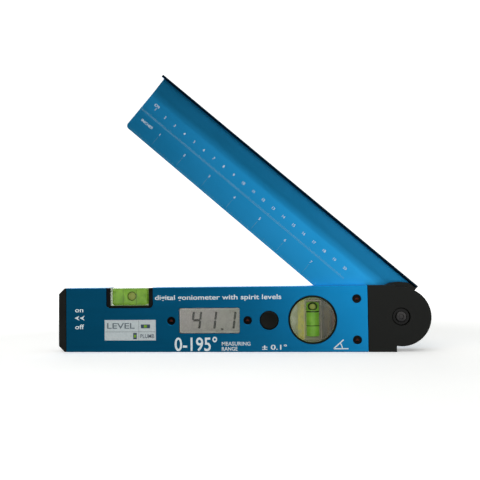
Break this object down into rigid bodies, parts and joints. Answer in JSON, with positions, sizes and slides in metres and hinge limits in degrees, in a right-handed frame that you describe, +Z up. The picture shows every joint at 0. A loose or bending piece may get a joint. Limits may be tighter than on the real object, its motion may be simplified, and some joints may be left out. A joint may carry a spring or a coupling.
{
  "type": "goniometer",
  "caption": "Digital goniometer: a blue aluminium body with a display, hold button and spirit vials, and a ruled leg that turns on a black hinge to measure the angle between them.",
  "frame": {"origin": "middle of the whole tool's footprint, on the plane of the body's base face", "axes": "+Z up from the base face, +X along the body from the end cap towards the hinge, front face towards -Y"},
  "size_m": [0.273, 0.0238, 0.2095],
  "materials": {
    "blue_anodised": "brushed along its length and anodised blue, satin",
    "black_plastic": "fine moulded texture",
    "black_steel": "blackened steel, satin",
    "bright_steel": "plated, satin",
    "brass": "turned",
    "acetal": "smooth, natural white",
    "clear_acrylic": "polished clear plastic",
    "vial_liquid": "clear yellow-green liquid",
    "lcd_glass": "grey reflective display glass",
    "circuit_board": "green solder mask",
    "white_print": "white ink and paper label",
    "black_rubber": "matt",
    "cell_wrap": "smooth shrink sleeve"
  },
  "bodies": {
    "body": {"body_tube": "blue_anodised", "end_cap": "black_plastic", "slide_switch": "bright_steel", "hinge_head": "black_plastic", "head_screw_upper": "black_steel", "head_screw_lower": "black_steel", "hinge_bush": "brass", "wave_washer": "bright_steel", "pivot_washer": "black_steel", "sensor_stator": "circuit_board", "lcd_lens": "clear_acrylic", "lcd_glass": "lcd_glass", "lcd_frame": "black_plastic", "connector_strip": "black_rubber", "lcd_screw_left": "black_steel", "lcd_screw_right": "black_steel", "main_board": "circuit_board", "controller_chip": "black_rubber", "button_switch": "bright_steel", "plumb_vial_cup": "black_plastic", "plumb_vial_reflector": "white_print", "plumb_vial_disc": "clear_acrylic", "plumb_vial_block": "clear_acrylic", "plumb_vial_liquid": "vial_liquid", "plumb_vial_plug": "black_plastic", "level_vial_cradle": "black_plastic", "level_vial_block": "clear_acrylic", "level_vial_liquid": "vial_liquid", "level_vial_plug": "black_plastic", "mode_label": "white_print", "battery_tray": "black_plastic", "battery_cell_lower": "cell_wrap", "battery_cell_upper": "cell_wrap", "battery_bridge_contact": "bright_steel", "battery_plus_contact": "bright_steel", "battery_minus_contact": "bright_steel", "battery_cover": "black_plastic", "battery_cover_screw": "black_steel", "sensor_cable": "cell_wrap"},
    "leg": {"leg_profile": "blue_anodised", "leg_hub": "black_plastic", "hub_screw_upper": "black_steel", "hub_screw_lower": "black_steel", "hub_screw_rear": "black_steel", "pivot_screw": "black_steel", "pivot_nut": "bright_steel", "thrust_washer": "acetal", "sensor_rotor": "acetal", "stop_pin": "bright_steel"},
    "hold_button": {"hold_button": "black_plastic"},
    "power_switch": {"power_switch_knob": "black_plastic"}
  },
  "joints": [
    {"name": "leg_hinge", "type": "hinge", "parent": "body", "child": "leg", "pos_m": [0.1155, -0.00125, 0.025], "axis": [0, 1, 0], "range_deg": [-41.1, 153.9]},
    {"name": "hold_button_press", "type": "slide", "parent": "body", "child": "hold_button", "axis": [0, 1, 0], "range_m": [0, 0.0008], "stiffness_N_per_m": 2500, "springref_m": -0.0002},
    {"name": "power_switch_slide", "type": "slide", "parent": "body", "child": "power_switch", "axis": [0, 0, 1], "range_m": [-0.003, 0]}
  ]
}
